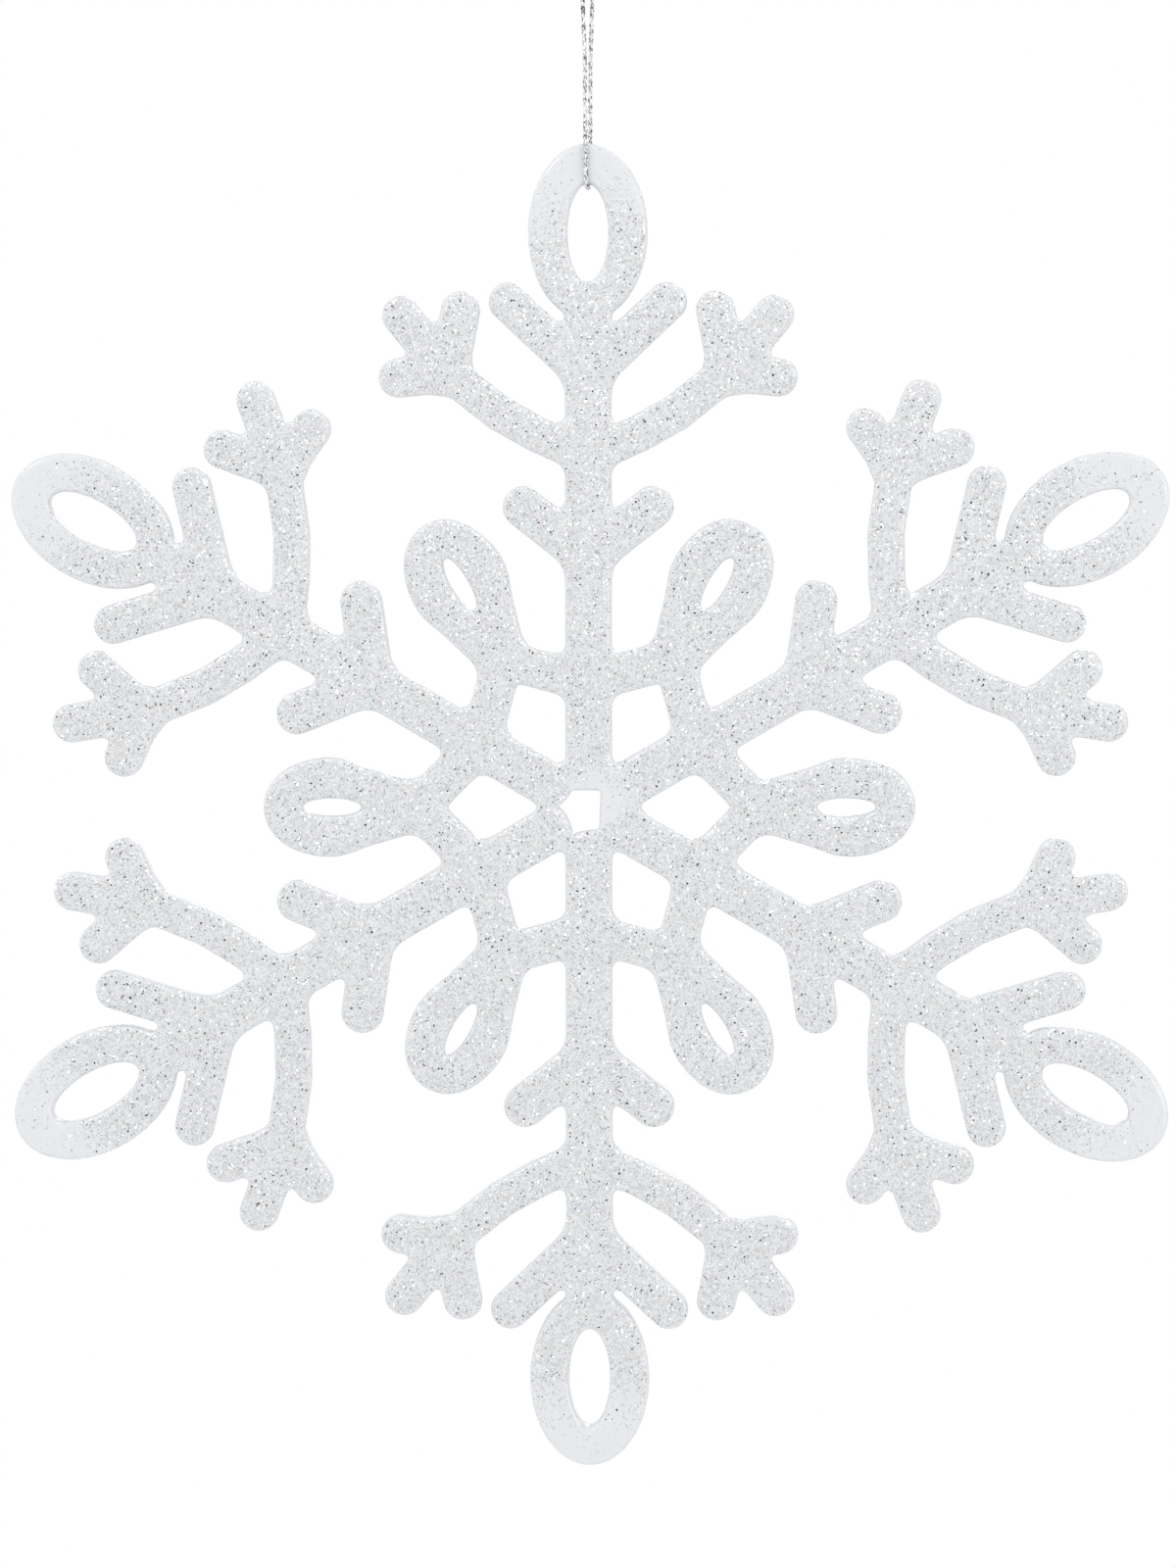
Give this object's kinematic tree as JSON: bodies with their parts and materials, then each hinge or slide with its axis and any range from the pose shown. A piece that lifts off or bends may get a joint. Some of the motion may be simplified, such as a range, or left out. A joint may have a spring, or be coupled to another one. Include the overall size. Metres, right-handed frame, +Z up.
{
  "type": "hanging snowflake star",
  "caption": "Flat snowflake-shaped hanging ornament with glittered faces, open loops at its arm tips, and a metallic cord loop for a hook.",
  "frame": {"origin": "the point where a hook carries the cord loop: inside the top of the loop, right under the knot", "axes": "+Z up along the cord, the front of the star faces -Y, +X to the right as seen from the front"},
  "size_m": [0.2624, 0.0082, 0.3594],
  "materials": {
    "translucent_plastic": "milky translucent moulded plastic, glossy where bare",
    "glitter": "clear adhesive full of small iridescent silver flakes",
    "metallic_cord": "braided silver metallic yarn"
  },
  "bodies": {
    "hanger": {"cord_left_leg": "metallic_cord", "cord_right_leg": "metallic_cord", "cord_knot": "metallic_cord", "cord_tails": "metallic_cord"},
    "saddle": {"cord_saddle": "metallic_cord"},
    "star": {"snowflake_moulding": "translucent_plastic", "front_glitter_coat": "glitter", "back_glitter_coat": "glitter"}
  },
  "joints": [
    {"name": "cord_twist", "type": "hinge", "parent": "hanger", "child": "saddle", "pos_m": [0, 0, -0.026], "axis": [0, 0, 1], "range_deg": [-180, 180]},
    {"name": "star_swing", "type": "hinge", "parent": "saddle", "child": "star", "pos_m": [0, 0, -0.056], "axis": [0, 1, 0], "range_deg": [-60, 60]}
  ]
}
